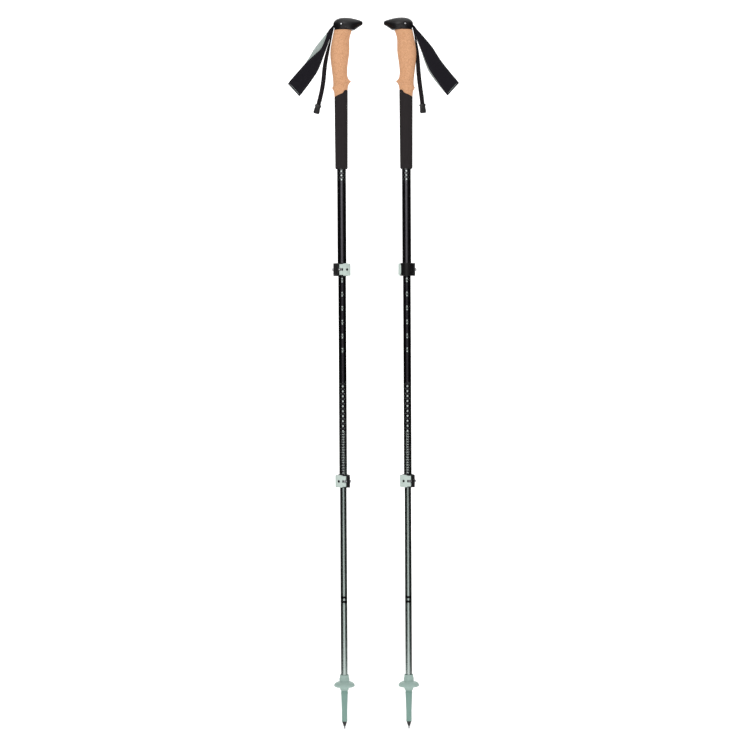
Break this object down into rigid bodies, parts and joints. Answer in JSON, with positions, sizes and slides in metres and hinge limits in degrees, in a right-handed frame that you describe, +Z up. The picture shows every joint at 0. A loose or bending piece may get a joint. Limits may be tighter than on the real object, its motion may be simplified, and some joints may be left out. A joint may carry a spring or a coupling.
{
  "type": "trekking poles",
  "caption": "Pair of three-section telescopic walking poles with cork and foam grips, lever locks, wrist straps and tip baskets.",
  "frame": {"origin": "on the ground, midway between the two tips", "axes": "+Z up along both shafts, +X from the left pole to the right pole, +Y away from the viewer"},
  "size_m": [0.306, 0.037, 1.276],
  "materials": {
    "dark_tube": "satin anodised, near black",
    "printed_tube": "satin anodised, near black, with pale printed marks",
    "mint_tube": "satin anodised, grey green",
    "cork": "fine pressed cork, matt",
    "foam": "closed-cell foam, matt black",
    "cap_rubber": "black moulding, satin",
    "webbing": "black woven outer, grey-green lining",
    "tape": "black woven tape",
    "stop_plastic": "black, fine grain",
    "core_plastic": "moulded, matt",
    "lock_body": "moulded, matt black",
    "lock_lever": "moulded, satin mint",
    "steel": "plain turned steel",
    "ferrule_plastic": "moulded, satin green-grey",
    "basket_plastic": "moulded, satin mint",
    "tip_holder": "moulded, black",
    "carbide": "ground carbide"
  },
  "bodies": {
    "left_grip_section": {"left_upper_shaft": "dark_tube", "left_grip_core": "core_plastic", "left_cork_grip": "cork", "left_foam_sleeve": "foam", "left_grip_cap": "cap_rubber", "left_strap_pin": "steel", "left_strap_anchor": "webbing", "left_strap_wedge": "core_plastic", "left_upper_clamp": "lock_body", "left_upper_hinge_pin": "steel", "left_upper_clamp_screw": "steel"},
    "left_upper_lever": {"left_upper_lever": "lock_lever"},
    "left_strap": {"left_wrist_strap": "webbing", "left_strap_tail": "tape", "left_strap_tail_stop": "stop_plastic"},
    "left_middle_section": {"left_middle_shaft": "printed_tube", "left_middle_guide_bush": "core_plastic", "left_lower_clamp": "lock_body", "left_lower_hinge_pin": "steel", "left_lower_clamp_screw": "steel"},
    "left_lower_lever": {"left_lower_lever": "lock_lever"},
    "left_lower_section": {"left_lower_shaft": "mint_tube", "left_lower_guide_bush": "core_plastic", "left_tip_ferrule": "ferrule_plastic", "left_tip_holder": "tip_holder", "left_carbide_tip": "carbide"},
    "left_basket": {"left_basket": "basket_plastic"},
    "right_grip_section": {"right_upper_shaft": "dark_tube", "right_grip_core": "core_plastic", "right_cork_grip": "cork", "right_foam_sleeve": "foam", "right_grip_cap": "cap_rubber", "right_strap_pin": "steel", "right_strap_anchor": "webbing", "right_strap_wedge": "core_plastic", "right_upper_clamp": "lock_body", "right_upper_hinge_pin": "steel", "right_upper_clamp_screw": "steel"},
    "right_upper_lever": {"right_upper_lever": "lock_lever"},
    "right_strap": {"right_wrist_strap": "webbing", "right_strap_tail": "tape", "right_strap_tail_stop": "stop_plastic"},
    "right_middle_section": {"right_middle_shaft": "printed_tube", "right_middle_guide_bush": "core_plastic", "right_lower_clamp": "lock_body", "right_lower_hinge_pin": "steel", "right_lower_clamp_screw": "steel"},
    "right_lower_lever": {"right_lower_lever": "lock_lever"},
    "right_lower_section": {"right_lower_shaft": "mint_tube", "right_lower_guide_bush": "core_plastic", "right_tip_ferrule": "ferrule_plastic", "right_tip_holder": "tip_holder", "right_carbide_tip": "carbide"},
    "right_basket": {"right_basket": "basket_plastic"}
  },
  "joints": [
    {"name": "left_upper_lever_hinge", "type": "hinge", "parent": "left_grip_section", "child": "left_upper_lever", "pos_m": [-0.0594, -0.01333, 0.8265], "axis": [0, 0, -1], "range_deg": [0, 115]},
    {"name": "left_strap_hinge", "type": "hinge", "parent": "left_grip_section", "child": "left_strap", "pos_m": [-0.0714, 0, 1.262], "axis": [0, 1, 0], "range_deg": [0, 45]},
    {"name": "left_middle_slide", "type": "slide", "parent": "left_grip_section", "child": "left_middle_section", "axis": [0, 0, -1], "range_m": [-0.288, 0.06]},
    {"name": "left_lower_lever_hinge", "type": "hinge", "parent": "left_middle_section", "child": "left_lower_lever", "pos_m": [-0.05585, -0.01221, 0.4475], "axis": [0, 0, 1], "range_deg": [0, 115]},
    {"name": "left_lower_slide", "type": "slide", "parent": "left_middle_section", "child": "left_lower_section", "axis": [0, 0, -1], "range_m": [-0.336, 0.06]},
    {"name": "left_basket_turn", "type": "hinge", "parent": "left_lower_section", "child": "left_basket", "pos_m": [-0.058, 0, 0.084], "axis": [0, 0, 1], "range_deg": [0, 180]},
    {"name": "right_upper_lever_hinge", "type": "hinge", "parent": "right_grip_section", "child": "right_upper_lever", "pos_m": [0.0594, 0.01333, 0.8265], "axis": [0, 0, -1], "range_deg": [0, 115]},
    {"name": "right_strap_hinge", "type": "hinge", "parent": "right_grip_section", "child": "right_strap", "pos_m": [0.0714, 0, 1.262], "axis": [0, -1, 0], "range_deg": [0, 45]},
    {"name": "right_middle_slide", "type": "slide", "parent": "right_grip_section", "child": "right_middle_section", "axis": [0, 0, -1], "range_m": [-0.288, 0.06]},
    {"name": "right_lower_lever_hinge", "type": "hinge", "parent": "right_middle_section", "child": "right_lower_lever", "pos_m": [0.06015, -0.01221, 0.4475], "axis": [0, 0, 1], "range_deg": [0, 115]},
    {"name": "right_lower_slide", "type": "slide", "parent": "right_middle_section", "child": "right_lower_section", "axis": [0, 0, -1], "range_m": [-0.336, 0.06]},
    {"name": "right_basket_turn", "type": "hinge", "parent": "right_lower_section", "child": "right_basket", "pos_m": [0.058, 0, 0.084], "axis": [0, 0, 1], "range_deg": [0, 180]},
    {"name": "poles_apart", "type": "slide", "parent": "left_grip_section", "child": "right_grip_section", "axis": [1, 0, 0], "range_m": [0, 0.3]}
  ]
}
